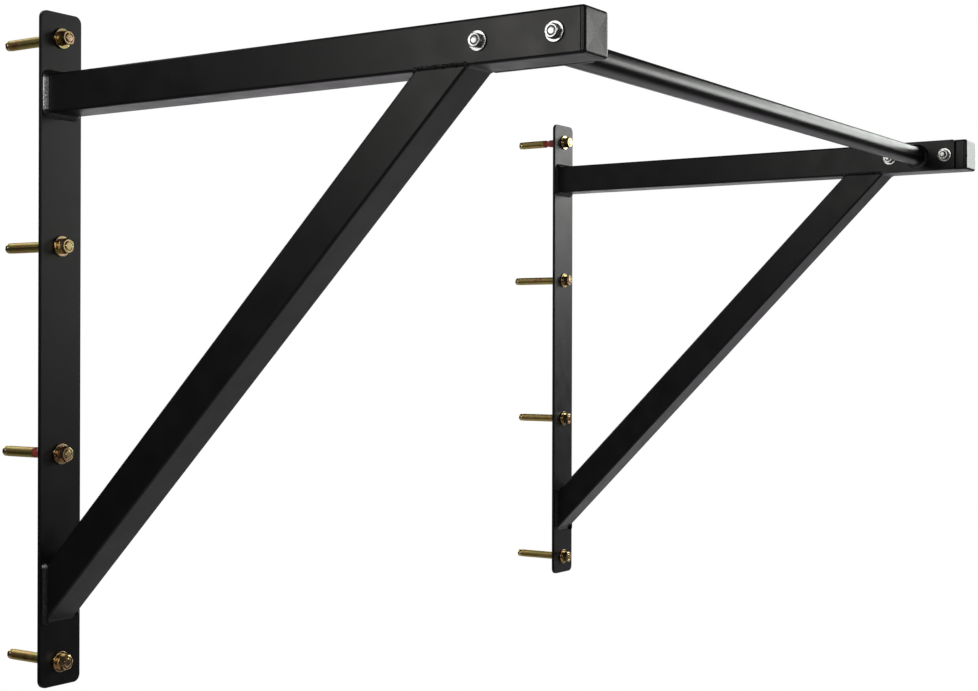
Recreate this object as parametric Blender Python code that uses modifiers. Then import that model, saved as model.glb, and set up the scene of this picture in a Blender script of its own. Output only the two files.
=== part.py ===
"""Wall-mounted pull-up bar: two welded steel brackets carry a round bar on bolted flanges.

Units are metres, +Z is up. The wall is the plane Y = 0 and the room is on its -Y side, so the
brackets reach towards -Y and the wall anchors towards +Y. The bar runs along X. The origin lies on
the wall plane, midway between the brackets, level with the lower ends of the wall plates. "left" is
the -X side, "front" is the side away from the wall, and anchors are numbered from the lowest.
"""

import math

import bmesh
import bpy

GAP = 0.0003  # left between pieces that touch

# Wall plates
BRACKET_PITCH = 1.140
PLATE_WIDTH = 0.060
PLATE_THICKNESS = 0.005
PLATE_HEIGHT = 0.780
PLATE_CORNER_RADIUS = 0.009
PLATE_HOLE = 0.0132  # clears the sleeves, which pass through the plate up to the washers

# Square tube of the arms and braces
TUBE_SIDE = 0.045
TUBE_WALL = 0.0025
TUBE_EDGE_RADIUS = 0.003
ARM_HEIGHT = 0.684  # centre line above the plate's lower end
ARM_REACH = 0.718  # wall to the outside of the end cap
BRACE_FOOT_HEIGHT = 0.104  # where the centre line of the 45 degree brace meets the wall plane

# End caps of the arms
CAP_THICKNESS = 0.004
PLUG_DEPTH = 0.020
PLUG_WALL = 0.002

# Pull bar and its flanges
BAR_DIAMETER = 0.028
BAR_WALL = 0.0025
BAR_REACH = 0.644  # wall to the bar's centre line
FLANGE_LENGTH = 0.114
FLANGE_THICKNESS = 0.005

# Bolts through flange and arm: M8 x 65, head on the outer side
BOLT_SPACING = 0.085
BOLT_DIAMETER = 0.008
BOLT_LENGTH = 0.065
BOLT_HOLE = 0.009
BOLT_ACROSS_FLATS = 0.013
BOLT_HEAD_HEIGHT = 0.0053
BOLT_NUT_HEIGHT = 0.0065
BOLT_WASHER_DIAMETER = 0.020
BOLT_WASHER_THICKNESS = 0.0016

# Wall anchors: M10 sleeve anchors
ANCHORS_PER_PLATE = 4
ANCHOR_FOOT = 0.0275  # lowest anchor above the plate's lower end
ANCHOR_PITCH = 0.241
STUD_DIAMETER = 0.010
STUD_DEPTHS = {  # behind the wall plane, from the lowest anchor to the highest
    "left": (0.0805, 0.0900, 0.0860, 0.0870),
    "right": (0.0855, 0.0840, 0.0925, 0.0850),
}
STUD_PROUD = 0.001  # beyond the nut
CONE_DIAMETER = 0.0122
CONE_LENGTH = 0.006
CONE_LIP = 0.0015  # straight length at the cone's back end
SLEEVE_DIAMETER = 0.0125
ANCHOR_ACROSS_FLATS = 0.016
ANCHOR_NUT_HEIGHT = 0.008
ANCHOR_WASHER_DIAMETER = 0.024
ANCHOR_WASHER_THICKNESS = 0.002
SPRING_WASHER_ROOM = 0.002  # kept free between washer and nut

SIDES = {"left": -1, "right": 1}
ROUND_STEPS = 16
BAR_STEPS = 24
EDGE_SEGMENTS = 3
CUT_MARGIN = 0.002  # how far a cutter runs past what it cuts


def remove_everything():
    for item in list(bpy.data.objects):
        bpy.data.objects.remove(item, do_unlink=True)


def make_collection(name):
    collection = bpy.data.collections.new(name)
    bpy.context.scene.collection.children.link(collection)
    return collection


def make_material(name, colour, roughness, metallic):
    material = bpy.data.materials.new(name)
    material.use_nodes = True
    shader = material.node_tree.nodes["Principled BSDF"]
    shader.inputs["Base Color"].default_value = (*colour, 1.0)
    shader.inputs["Roughness"].default_value = roughness
    shader.inputs["Metallic"].default_value = metallic
    material.diffuse_color = (*colour, 1.0)
    return material


remove_everything()
PARTS = make_collection("pull_up_bar")
CUTTERS = make_collection("cutters")
BLACK_COAT = make_material("black_powder_coat", (0.022, 0.022, 0.024), 0.38, 0.0)
BAR_COAT = make_material("bar_black_coat", (0.026, 0.026, 0.027), 0.30, 0.0)
CAP_COAT = make_material("cap_black_plastic", (0.035, 0.037, 0.036), 0.42, 0.0)
BRIGHT_ZINC = make_material("bright_zinc", (0.72, 0.72, 0.72), 0.25, 1.0)
YELLOW_ZINC = make_material("yellow_zinc", (0.58, 0.44, 0.16), 0.30, 1.0)


def make_empty(name, location, rotation=(0, 0, 0), parent=None):
    empty = bpy.data.objects.new(name, None)
    empty.empty_display_size = 0.02
    PARTS.objects.link(empty)
    empty.location = location
    empty.rotation_euler = rotation
    empty.parent = parent
    return empty


def make_part(name, mesh, material, parent, location=(0, 0, 0), rotation=(0, 0, 0)):
    """A sub-part: its object in the parts' collection, placed in its parent's frame."""
    part = bpy.data.objects.new(name, mesh)
    PARTS.objects.link(part)
    part.data.materials.clear()
    part.data.materials.append(material)
    part.parent = parent
    part.location = location
    part.rotation_euler = rotation
    return part


def make_cutter(name, mesh, parent, location=(0, 0, 0), rotation=(0, 0, 0)):
    cutter = bpy.data.objects.new(name, mesh)
    CUTTERS.objects.link(cutter)
    cutter.parent = parent
    cutter.location = location
    cutter.rotation_euler = rotation
    cutter.hide_render = True
    cutter.display_type = "WIRE"
    return cutter


def combine(part, other, operation):
    modifier = part.modifiers.new(other.name, "BOOLEAN")
    modifier.operation = operation
    modifier.solver = "EXACT"
    modifier.object = other


def finish_mesh(shape, name):
    mesh = bpy.data.meshes.new(name)
    bmesh.ops.recalc_face_normals(shape, faces=shape.faces)
    shape.to_mesh(mesh)
    shape.free()
    return mesh


def edges_along(shape, axis):
    return [e for e in shape.edges if abs((e.verts[1].co - e.verts[0].co).normalized()[axis]) > 0.999]


def box_mesh(name, size, radius=0.0, axis=2, segments=EDGE_SEGMENTS):
    """A box about its centre, with the edges that run along one axis rounded."""
    shape = bmesh.new()
    bmesh.ops.create_cube(shape, size=1.0)
    bmesh.ops.scale(shape, vec=size, verts=shape.verts)
    if radius:
        bmesh.ops.bevel(
            shape,
            geom=edges_along(shape, axis),
            offset=radius,
            segments=segments,
            profile=0.5,
            affect="EDGES",
        )
    return finish_mesh(shape, name)


def square_tube_mesh(name, length):
    """The outer skin of a square tube along Y, open at both ends."""
    shape = bmesh.new()
    bmesh.ops.create_cube(shape, size=1.0)
    bmesh.ops.scale(shape, vec=(TUBE_SIDE, length, TUBE_SIDE), verts=shape.verts)
    ends = [f for f in shape.faces if abs(f.normal.y) > 0.999]
    bmesh.ops.delete(shape, geom=ends, context="FACES_ONLY")
    bmesh.ops.bevel(
        shape,
        geom=edges_along(shape, 1),
        offset=TUBE_EDGE_RADIUS,
        segments=EDGE_SEGMENTS,
        profile=0.5,
        affect="EDGES",
    )
    return finish_mesh(shape, name)


def add_wall(tube):
    """Give an open skin its wall, inwards."""
    wall = tube.modifiers.new("wall", "SOLIDIFY")
    wall.thickness = TUBE_WALL
    wall.offset = -1.0
    wall.use_even_offset = True


def cylinder_mesh(name, diameter, low, high, sides=ROUND_STEPS):
    """A cylinder or, with six sides and the corner diameter, a hexagonal prism along Z."""
    shape = bmesh.new()
    bmesh.ops.create_cone(
        shape, cap_ends=True, segments=sides, radius1=diameter / 2, radius2=diameter / 2, depth=high - low
    )
    bmesh.ops.translate(shape, vec=(0, 0, (low + high) / 2), verts=shape.verts)
    mesh = finish_mesh(shape, name)
    if sides > 6:
        mesh.shade_smooth()
        mesh.set_sharp_from_angle(angle=math.radians(40))
    return mesh


def hexagon_mesh(name, across_flats, low, high):
    return cylinder_mesh(name, across_flats / math.cos(math.pi / 6), low, high, sides=6)


def profile_mesh(name, points, closed):
    """A turned shape's profile: points of radius and height, down the outer side."""
    shape = bmesh.new()
    corners = [shape.verts.new((radius, 0, height)) for radius, height in points]
    for first, second in zip(corners, corners[1:]):
        shape.edges.new((first, second))
    if closed:
        shape.edges.new((corners[-1], corners[0]))
    mesh = bpy.data.meshes.new(name)
    shape.to_mesh(mesh)
    shape.free()
    return mesh


def turn(part, steps=ROUND_STEPS):
    screw = part.modifiers.new("turned", "SCREW")
    screw.steps = steps
    screw.render_steps = steps
    screw.use_merge_vertices = True
    screw.merge_threshold = 0.00005
    screw.use_smooth_shade = True


def ring_profile(outer, inner, low, high):
    return [(outer / 2, high), (outer / 2, low), (inner / 2, low), (inner / 2, high)]


def make_ring(name, material, parent, outer, inner, low, high, steps=ROUND_STEPS):
    """A washer, sleeve or round tube: a closed profile turned about the parent's Z axis."""
    mesh = profile_mesh(name, ring_profile(outer, inner, low, high), closed=True)
    ring = make_part(name, mesh, material, parent)
    turn(ring, steps)
    return ring


def drill(part, parent, diameter, low, high):
    """A round hole along the parent's Z axis."""
    name = f"{part.name}_hole_{len(part.modifiers)}"
    mesh = cylinder_mesh(name, diameter, low - CUT_MARGIN, high + CUT_MARGIN)
    combine(part, make_cutter(name, mesh, parent), "DIFFERENCE")


def make_nut(name, material, parent, across_flats, bore, low, high):
    nut = make_part(name, hexagon_mesh(name, across_flats, low, high), material, parent)
    drill(nut, parent, bore, low, high)
    return nut


def make_wall_plate(side, bracket):
    name = f"{side}_wall_plate"
    size = (PLATE_WIDTH, PLATE_THICKNESS, PLATE_HEIGHT)
    mesh = box_mesh(name, size, PLATE_CORNER_RADIUS, axis=1, segments=4)
    return make_part(name, mesh, BLACK_COAT, bracket, (0, -PLATE_THICKNESS / 2, PLATE_HEIGHT / 2))


def make_arm(side, bracket):
    name = f"{side}_arm"
    start = PLATE_THICKNESS + GAP
    end = ARM_REACH - CAP_THICKNESS - GAP
    arm = make_part(name, square_tube_mesh(name, end - start), BLACK_COAT, bracket)
    arm.location = (0, -(start + end) / 2, ARM_HEIGHT)
    add_wall(arm)
    return arm


def make_brace(side, bracket):
    """A longer tube at 45 degrees, cut off in the plane of the plate and under the arm."""
    name = f"{side}_brace"
    arm_underside = ARM_HEIGHT - TUBE_SIDE / 2
    run = arm_underside - BRACE_FOOT_HEIGHT
    spare = 2 * TUBE_SIDE
    mesh = square_tube_mesh(name, run * math.sqrt(2) + 2 * spare)
    brace = make_part(name, mesh, BLACK_COAT, bracket)
    brace.location = (0, -run / 2, BRACE_FOOT_HEIGHT + run / 2)
    brace.rotation_euler = (-math.pi / 4, 0, 0)
    add_wall(brace)
    cut = 4 * TUBE_SIDE
    block = box_mesh(f"{name}_end_block", (cut, cut, cut))
    at_plate = (0, cut / 2 - PLATE_THICKNESS - GAP, BRACE_FOOT_HEIGHT)
    at_arm = (0, -run, arm_underside - GAP + cut / 2)
    combine(brace, make_cutter(f"{name}_plate_cut", block, bracket, at_plate), "DIFFERENCE")
    combine(brace, make_cutter(f"{name}_arm_cut", block, bracket, at_arm), "DIFFERENCE")
    return brace


def make_end_cap(side, bracket):
    """A square plate that covers the arm's end, with a hollow plug that fits inside the tube."""
    name = f"{side}_arm_end_cap"
    holder = make_empty(f"{name}_frame", (0, -ARM_REACH, ARM_HEIGHT), parent=bracket)
    plate_size = (TUBE_SIDE, CAP_THICKNESS, TUBE_SIDE)
    mesh = box_mesh(name, plate_size, TUBE_EDGE_RADIUS, axis=1)
    cap = make_part(name, mesh, CAP_COAT, holder, (0, CAP_THICKNESS / 2, 0))
    plug_side = TUBE_SIDE - 2 * TUBE_WALL - 2 * GAP
    bite = CAP_THICKNESS / 2
    plug = box_mesh(f"{name}_plug", (plug_side, PLUG_DEPTH + bite, plug_side), 0.001, axis=1, segments=2)
    plug_place = (0, bite + (PLUG_DEPTH + bite) / 2, 0)
    combine(cap, make_cutter(f"{name}_plug", plug, holder, plug_place), "UNION")
    hollow_side = plug_side - 2 * PLUG_WALL
    hollow = box_mesh(f"{name}_hollow", (hollow_side, PLUG_DEPTH + CUT_MARGIN, hollow_side))
    hollow_place = (0, CAP_THICKNESS + (PLUG_DEPTH + CUT_MARGIN) / 2, 0)
    combine(cap, make_cutter(f"{name}_hollow", hollow, holder, hollow_place), "DIFFERENCE")
    return cap


def make_flange(side, bracket):
    name = f"{side}_bar_flange"
    size = (FLANGE_THICKNESS, FLANGE_LENGTH, TUBE_SIDE)
    offset = TUBE_SIDE / 2 + GAP + FLANGE_THICKNESS / 2
    place = (-SIDES[side] * offset, -BAR_REACH, ARM_HEIGHT)
    return make_part(name, box_mesh(name, size, 0.003, axis=0), BLACK_COAT, bracket, place)


def make_bolt_set(side, place, reach, bracket, arm, flange):
    """Bolt, nut and two washers on one axis. The axis points outwards from the arm's centre line."""
    name = f"{side}_{place}"
    axis = make_empty(
        f"{name}_bolt_axis",
        (0, -reach, ARM_HEIGHT),
        (0, SIDES[side] * math.pi / 2, 0),
        bracket,
    )
    bore = BOLT_DIAMETER + 2 * GAP
    outer_washer = TUBE_SIDE / 2 + GAP
    head = outer_washer + BOLT_WASHER_THICKNESS + GAP
    inner_washer = -(TUBE_SIDE / 2 + GAP + FLANGE_THICKNESS + GAP)
    nut = inner_washer - BOLT_WASHER_THICKNESS - GAP

    mesh = hexagon_mesh(f"{name}_bolt", BOLT_ACROSS_FLATS, head, head + BOLT_HEAD_HEIGHT)
    bolt = make_part(f"{name}_bolt", mesh, BRIGHT_ZINC, axis)
    bite = BOLT_HEAD_HEIGHT / 2
    shank = cylinder_mesh(f"{name}_shank", BOLT_DIAMETER, head - BOLT_LENGTH, head + bite)
    combine(bolt, make_cutter(f"{name}_shank", shank, axis), "UNION")

    for washer, low in (("head_washer", outer_washer), ("nut_washer", inner_washer - BOLT_WASHER_THICKNESS)):
        high = low + BOLT_WASHER_THICKNESS
        make_ring(f"{name}_{washer}", BRIGHT_ZINC, axis, BOLT_WASHER_DIAMETER, bore, low, high)
    make_nut(f"{name}_nut", BRIGHT_ZINC, axis, BOLT_ACROSS_FLATS, bore, nut - BOLT_NUT_HEIGHT, nut)

    drill(arm, axis, BOLT_HOLE, -TUBE_SIDE / 2, TUBE_SIDE / 2)
    drill(flange, axis, BOLT_HOLE, inner_washer, inner_washer + FLANGE_THICKNESS)


def make_anchor(side, number, bracket, plate):
    """Stud, sleeve, washer and nut on one axis, which points out of the wall from the wall plane."""
    name = f"{side}_anchor_{number}"
    height = ANCHOR_FOOT + (number - 1) * ANCHOR_PITCH
    axis = make_empty(f"{name}_axis", (0, 0, height), (math.pi / 2, 0, 0), bracket)
    bore = STUD_DIAMETER + 2 * GAP
    washer = PLATE_THICKNESS + GAP
    nut = washer + ANCHOR_WASHER_THICKNESS + SPRING_WASHER_ROOM
    tip = nut + ANCHOR_NUT_HEIGHT + STUD_PROUD
    back = -STUD_DEPTHS[side][number - 1]
    cone_start = back + CONE_LENGTH

    stud_profile = [
        (0, tip),
        (STUD_DIAMETER / 2, tip),
        (STUD_DIAMETER / 2, cone_start),
        (CONE_DIAMETER / 2, back + CONE_LIP),
        (CONE_DIAMETER / 2, back),
        (0, back),
    ]
    mesh = profile_mesh(f"{name}_stud", stud_profile, closed=False)
    turn(make_part(f"{name}_stud", mesh, YELLOW_ZINC, axis))
    sleeve_start = cone_start + GAP
    make_ring(f"{name}_sleeve", YELLOW_ZINC, axis, SLEEVE_DIAMETER, bore, sleeve_start, PLATE_THICKNESS)
    make_ring(
        f"{name}_washer",
        YELLOW_ZINC,
        axis,
        ANCHOR_WASHER_DIAMETER,
        bore,
        washer,
        washer + ANCHOR_WASHER_THICKNESS,
    )
    make_nut(f"{name}_nut", YELLOW_ZINC, axis, ANCHOR_ACROSS_FLATS, bore, nut, nut + ANCHOR_NUT_HEIGHT)
    drill(plate, axis, PLATE_HOLE, 0, PLATE_THICKNESS)


def make_bracket(side):
    bracket = make_empty(f"{side}_bracket", (SIDES[side] * BRACKET_PITCH / 2, 0, 0))
    plate = make_wall_plate(side, bracket)
    arm = make_arm(side, bracket)
    make_brace(side, bracket)
    make_end_cap(side, bracket)
    flange = make_flange(side, bracket)
    make_bolt_set(side, "rear", BAR_REACH - BOLT_SPACING / 2, bracket, arm, flange)
    make_bolt_set(side, "front", BAR_REACH + BOLT_SPACING / 2, bracket, arm, flange)
    for number in range(1, ANCHORS_PER_PLATE + 1):
        make_anchor(side, number, bracket, plate)


def make_bar():
    half = BRACKET_PITCH / 2 - TUBE_SIDE / 2 - GAP - FLANGE_THICKNESS - GAP
    axis = make_empty("bar_axis", (0, -BAR_REACH, ARM_HEIGHT), (0, math.pi / 2, 0))
    inner = BAR_DIAMETER - 2 * BAR_WALL
    make_ring("pull_bar", BAR_COAT, axis, BAR_DIAMETER, inner, -half, half, BAR_STEPS)


for bracket_side in SIDES:
    make_bracket(bracket_side)
make_bar()
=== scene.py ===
"""The visible pull-up bar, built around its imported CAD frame.

Every piece is modelled in the CAD's own frame, in metres: +Z up, the wall is Y = 0 and the room is
on its -Y side. Sizes and places come from the CAD nodes' boxes. The numbers named here are what a
box doesn't give, such as holes, threads and wall thicknesses, and the details that the CAD leaves
out: fine edge radii and chamfers, slits, plastic collars, spring washers, weld beads and finishes.
"""

import math
import random

import bmesh
import bpy
from mathutils import Matrix, Vector


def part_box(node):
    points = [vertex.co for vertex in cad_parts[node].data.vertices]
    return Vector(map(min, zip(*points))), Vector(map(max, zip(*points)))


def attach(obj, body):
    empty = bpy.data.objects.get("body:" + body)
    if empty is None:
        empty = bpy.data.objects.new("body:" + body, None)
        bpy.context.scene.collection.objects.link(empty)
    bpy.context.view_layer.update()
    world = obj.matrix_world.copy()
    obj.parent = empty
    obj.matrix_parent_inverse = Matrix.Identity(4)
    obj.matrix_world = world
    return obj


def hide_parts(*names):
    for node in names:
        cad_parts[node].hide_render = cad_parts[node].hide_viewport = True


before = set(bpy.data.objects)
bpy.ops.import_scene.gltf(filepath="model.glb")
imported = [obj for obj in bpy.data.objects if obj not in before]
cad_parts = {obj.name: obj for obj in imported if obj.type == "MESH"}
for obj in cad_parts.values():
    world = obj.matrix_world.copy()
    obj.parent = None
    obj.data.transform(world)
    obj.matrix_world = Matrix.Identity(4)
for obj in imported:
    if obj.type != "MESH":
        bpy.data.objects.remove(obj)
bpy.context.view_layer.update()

SIDES = {"left": -1, "right": 1}
PLACES = ("rear", "front")
ANCHORS = (1, 2, 3, 4)
SINK = 0.00015  # how far a weld bead reaches into what it joins

PIECES = bpy.data.collections.new("pieces")
STAGE = bpy.data.collections.new("stage")
bpy.context.scene.collection.children.link(PIECES)
bpy.context.scene.collection.children.link(STAGE)


def centre_of(node):
    low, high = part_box(node)
    return (low + high) / 2


def brace_foot_top(side):
    """Height where the brace's upper face meets the wall plate."""
    low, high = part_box(f"{side}_brace")
    return low.z + (high.x - low.x) * math.sqrt(2)


# ---------------------------------------------------------------- materials


class Recipe:
    """A node material under construction, with its principled shader."""

    def __init__(self, name):
        self.material = bpy.data.materials.new(name)
        self.material.use_nodes = True
        self.tree = self.material.node_tree
        self.shader = self.tree.nodes["Principled BSDF"]
        coordinates = self.tree.nodes.new("ShaderNodeTexCoord")
        self.place = coordinates.outputs["Object"]

    def link(self, source, target):
        self.tree.links.new(source, target)

    def set(self, **values):
        for name, value in values.items():
            self.shader.inputs[name.replace("_", " ")].default_value = value

    def stretched(self, scale):
        mapping = self.tree.nodes.new("ShaderNodeMapping")
        mapping.inputs["Scale"].default_value = scale
        self.link(self.place, mapping.inputs["Vector"])
        return mapping.outputs["Vector"]

    def noise(self, scale, detail=2.0, roughness=0.5, place=None):
        node = self.tree.nodes.new("ShaderNodeTexNoise")
        node.inputs["Scale"].default_value = scale
        node.inputs["Detail"].default_value = detail
        node.inputs["Roughness"].default_value = roughness
        self.link(place or self.place, node.inputs["Vector"])
        return node.outputs["Fac"]

    def cells(self, scale):
        node = self.tree.nodes.new("ShaderNodeTexVoronoi")
        node.inputs["Scale"].default_value = scale
        self.link(self.place, node.inputs["Vector"])
        return node.outputs["Distance"]

    def spread(self, value, low, high, start=0.3, end=0.7):
        """A number from low to high as value goes from start to end."""
        node = self.tree.nodes.new("ShaderNodeMapRange")
        node.inputs["From Min"].default_value = start
        node.inputs["From Max"].default_value = end
        node.inputs["To Min"].default_value = low
        node.inputs["To Max"].default_value = high
        self.link(value, node.inputs["Value"])
        return node.outputs["Result"]

    def apart(self, value, level):
        """How far the value is from that level."""
        node = self.tree.nodes.new("ShaderNodeMath")
        node.operation = "SUBTRACT"
        node.inputs[1].default_value = level
        self.link(value, node.inputs[0])
        size = self.tree.nodes.new("ShaderNodeMath")
        size.operation = "ABSOLUTE"
        self.link(node.outputs["Value"], size.inputs[0])
        return size.outputs["Value"]

    def product(self, first, second):
        node = self.tree.nodes.new("ShaderNodeMath")
        node.operation = "MULTIPLY"
        self.link(first, node.inputs[0])
        self.link(second, node.inputs[1])
        return node.outputs["Value"]

    def ramp(self, value, stops):
        node = self.tree.nodes.new("ShaderNodeValToRGB")
        elements = node.color_ramp.elements
        while len(elements) < len(stops):
            elements.new(0.5)
        for element, (position, colour) in zip(elements, stops):
            element.position = position
            element.color = (*colour, 1.0)
        self.link(value, node.inputs["Fac"])
        return node.outputs["Color"]

    def bump(self, height, strength, distance, below=None):
        node = self.tree.nodes.new("ShaderNodeBump")
        node.inputs["Strength"].default_value = strength
        node.inputs["Distance"].default_value = distance
        self.link(height, node.inputs["Height"])
        if below:
            self.link(below, node.inputs["Normal"])
        self.link(node.outputs["Normal"], self.shader.inputs["Normal"])
        return node.outputs["Normal"]


def coat_material(name, dark, light, rough_low, rough_high, peel, pits=0.0, gloss=1.5):
    """Black powder coat: cloudy colour and gloss, orange peel and, on welds, small pits."""
    recipe = Recipe(name)
    recipe.set(Metallic=0.0, IOR=gloss)
    clouds = recipe.noise(9.0, 4.0)
    recipe.link(recipe.ramp(clouds, [(0.35, dark), (0.65, light)]), recipe.shader.inputs["Base Color"])
    patches = recipe.noise(35.0, 3.0)
    recipe.link(recipe.spread(patches, rough_low, rough_high), recipe.shader.inputs["Roughness"])
    peel_normal = recipe.bump(recipe.noise(650.0, 2.0), peel, 0.0002)
    grain_normal = recipe.bump(recipe.noise(2600.0, 1.0), peel * 0.6, 0.00006, peel_normal)
    if pits:
        recipe.bump(recipe.noise(1300.0, 4.0, 0.7), pits, 0.0004, grain_normal)
    return recipe.material


def painted_highlight_weld_material(name, side, level, half_height):
    """Weld coated like the steel, with a painted highlight: mottled bright metal beyond |X| = side, near
    that level.
    """
    recipe = Recipe(name)
    recipe.set(IOR=1.6)
    axes = recipe.tree.nodes.new("ShaderNodeSeparateXYZ")
    recipe.link(recipe.place, axes.inputs["Vector"])
    sideways = recipe.spread(recipe.apart(axes.outputs["X"], 0.0), 0.0, 1.0, side, side + 0.001)
    height = recipe.apart(axes.outputs["Z"], level)
    upright = recipe.spread(height, 1.0, 0.0, half_height - 0.002, half_height)
    highlight_mottle = recipe.spread(recipe.noise(620.0, 4.0, 0.7), 0.25, 1.0, 0.40, 0.54)
    # Painted highlight: bright metal where the side and height masks meet, mottled by noise
    painted_highlight_mask = recipe.product(recipe.product(sideways, upright), highlight_mottle)
    recipe.link(painted_highlight_mask, recipe.shader.inputs["Metallic"])
    coat, metal = (0.010, 0.010, 0.010), (0.85, 0.85, 0.85)
    recipe.link(recipe.ramp(painted_highlight_mask, [(0.0, coat), (1.0, metal)]), recipe.shader.inputs["Base Color"])
    recipe.link(recipe.spread(recipe.noise(400.0, 2.0), 0.30, 0.46), recipe.shader.inputs["Roughness"])
    coarse = recipe.bump(recipe.noise(420.0, 3.0), 0.5, 0.0006)
    recipe.bump(recipe.noise(1500.0, 4.0, 0.7), 0.4, 0.0004, coarse)
    return recipe.material


def zinc_material(name, stops, rough_low, rough_high, wear):
    """Zinc plating: colour drifting over the surface, faint scratches and a fine grain."""
    recipe = Recipe(name)
    recipe.set(Metallic=1.0)
    drift = recipe.noise(70.0, 2.0)
    recipe.link(recipe.ramp(drift, stops), recipe.shader.inputs["Base Color"])
    patches = recipe.noise(300.0, 2.0)
    recipe.link(recipe.spread(patches, rough_low, rough_high), recipe.shader.inputs["Roughness"])
    grain = recipe.bump(recipe.noise(2400.0, 3.0), wear, 0.00005)
    scratches = recipe.noise(1500.0, 2.0, 0.5, recipe.stretched((1.0, 0.15, 1.0)))
    recipe.bump(scratches, wear, 0.00008, grain)
    return recipe.material


def plastic_material(name, dark, light, rough_low, rough_high, grain):
    """Moulded plastic with a fine eroded grain."""
    recipe = Recipe(name)
    recipe.set(Metallic=0.0, IOR=1.47)
    clouds = recipe.noise(60.0, 3.0)
    recipe.link(recipe.ramp(clouds, [(0.3, dark), (0.7, light)]), recipe.shader.inputs["Base Color"])
    patches = recipe.noise(240.0, 2.0)
    recipe.link(recipe.spread(patches, rough_low, rough_high), recipe.shader.inputs["Roughness"])
    leather = recipe.bump(recipe.cells(1500.0), grain, 0.00012)
    recipe.bump(recipe.noise(3000.0, 2.0), grain, 0.00008, leather)
    return recipe.material


COAT = coat_material(
    "black_powder_coat", (0.0066, 0.0060, 0.0070), (0.0098, 0.0090, 0.0102), 0.34, 0.42, 0.10
)
WELD_COAT = coat_material(
    "black_powder_coat_on_weld", (0.009, 0.009, 0.009), (0.022, 0.022, 0.022), 0.22, 0.42, 0.15, 0.30, 1.75
)
# Painted highlight: bright mottled metal on the outer side of the arm's weld, around the arm's height
ARM_WELD_PAINTED_HIGHLIGHT = painted_highlight_weld_material(
    "painted_highlight_on_arm_weld", side=0.5932, level=centre_of("left_arm").z, half_height=0.0195
)
# Painted highlight: a bright metal spot at the top end of the brace's outer weld on the wall plate
BRACE_WELD_PAINTED_HIGHLIGHT = painted_highlight_weld_material(
    "painted_highlight_on_brace_weld_tip", side=0.5930, level=brace_foot_top("left") + 0.0006, half_height=0.0035
)
# Painted shade: a darker, matt coat for the thin strip along the brace-to-arm joint, standing for the shade
# in the groove there
PAINTED_SHADE_SEAM_COAT = coat_material(
    "painted_shade_in_seam", (0.0020, 0.0020, 0.0020), (0.0040, 0.0040, 0.0040), 0.70, 0.85, 0.10
)
BAR_COAT = coat_material(
    "bar_black_coat", (0.0070, 0.0072, 0.0068), (0.0110, 0.0110, 0.0106), 0.28, 0.33, 0.05
)
CAP_PLASTIC = plastic_material(
    "cap_black_plastic", (0.018, 0.019, 0.017), (0.028, 0.029, 0.026), 0.26, 0.32, 0.008
)
BRIGHT_ZINC = zinc_material(
    "bright_zinc", [(0.3, (0.58, 0.59, 0.60)), (0.5, (0.66, 0.66, 0.66)), (0.7, (0.62, 0.61, 0.59))],
    0.24, 0.32, 0.015,
)
YELLOW_ZINC = zinc_material(
    "yellow_chromate_zinc",
    [(0.30, (0.84, 0.72, 0.34)), (0.45, (0.90, 0.70, 0.36)), (0.58, (0.92, 0.66, 0.38)),
     (0.72, (0.84, 0.58, 0.42))],
    0.18, 0.28, 0.03,
)
SLEEVE_ZINC = zinc_material(
    "yellow_chromate_zinc_on_sleeve",
    [(0.30, (0.52, 0.48, 0.14)), (0.45, (0.68, 0.55, 0.18)), (0.60, (0.72, 0.50, 0.18)),
     (0.72, (0.62, 0.32, 0.14))],
    0.36, 0.46, 0.06,
)
COLLAR_PLASTIC = plastic_material(
    "red_brown_plastic", (0.44, 0.065, 0.045), (0.60, 0.105, 0.070), 0.30, 0.42, 0.03
)


# ---------------------------------------------------------------- outlines


def filleted(points, radius, steps, closed=True):
    """A polyline with each corner turned into an arc."""
    result = []
    count = len(points)
    for index, corner in enumerate(points):
        if not closed and index in (0, count - 1):
            result.append(corner.copy())
            continue
        before = points[index - 1] - corner
        after = points[(index + 1) % count] - corner
        half_angle = before.angle(after) / 2
        reach = min(radius / math.tan(half_angle), 0.48 * before.length, 0.48 * after.length)
        arc_radius = reach * math.tan(half_angle)
        middle = (before.normalized() + after.normalized()).normalized()
        centre = corner + middle * (arc_radius / math.sin(half_angle))
        first = corner + before.normalized() * reach - centre
        last = corner + after.normalized() * reach - centre
        sweep = math.pi - 2 * half_angle
        for step in range(steps + 1):
            share = step / steps
            weight = math.sin((1 - share) * sweep), math.sin(share * sweep)
            result.append(centre + (first * weight[0] + last * weight[1]) / math.sin(sweep))
    return result


def divided(points, longest):
    """A closed outline with no side longer than that."""
    result = []
    for point, after in zip(points, points[1:] + points[:1]):
        parts = max(1, math.ceil((after - point).length / longest))
        result += [point.lerp(after, part / parts) for part in range(parts)]
    return result


def rectangle(width, height, radius, steps):
    corners = [
        Vector((x * width / 2, y * height / 2)) for x, y in ((-1, -1), (1, -1), (1, 1), (-1, 1))
    ]
    return filleted(corners, radius, steps)


def circle(radius, steps, centre=(0, 0)):
    angles = [2 * math.pi * step / steps for step in range(steps)]
    return [Vector((centre[0] + radius * math.cos(a), centre[1] + radius * math.sin(a))) for a in angles]


def hexagon(across_flats, turn):
    corner_radius = across_flats / 2 / math.cos(math.pi / 6)
    spin = Matrix.Rotation(turn, 2)
    corners = [spin @ corner for corner in circle(corner_radius, 6)]
    return divided(filleted(corners, 0.0005, 3), across_flats / 16)


# ---------------------------------------------------------------- shells


def add_ring(shape, points):
    return [shape.verts.new(point) for point in points]


def bridge(shape, first, second, closed=True):
    count = len(first)
    for index in range(count if closed else count - 1):
        after = (index + 1) % count
        shape.faces.new((first[index], first[after], second[after], second[index]))


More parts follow.
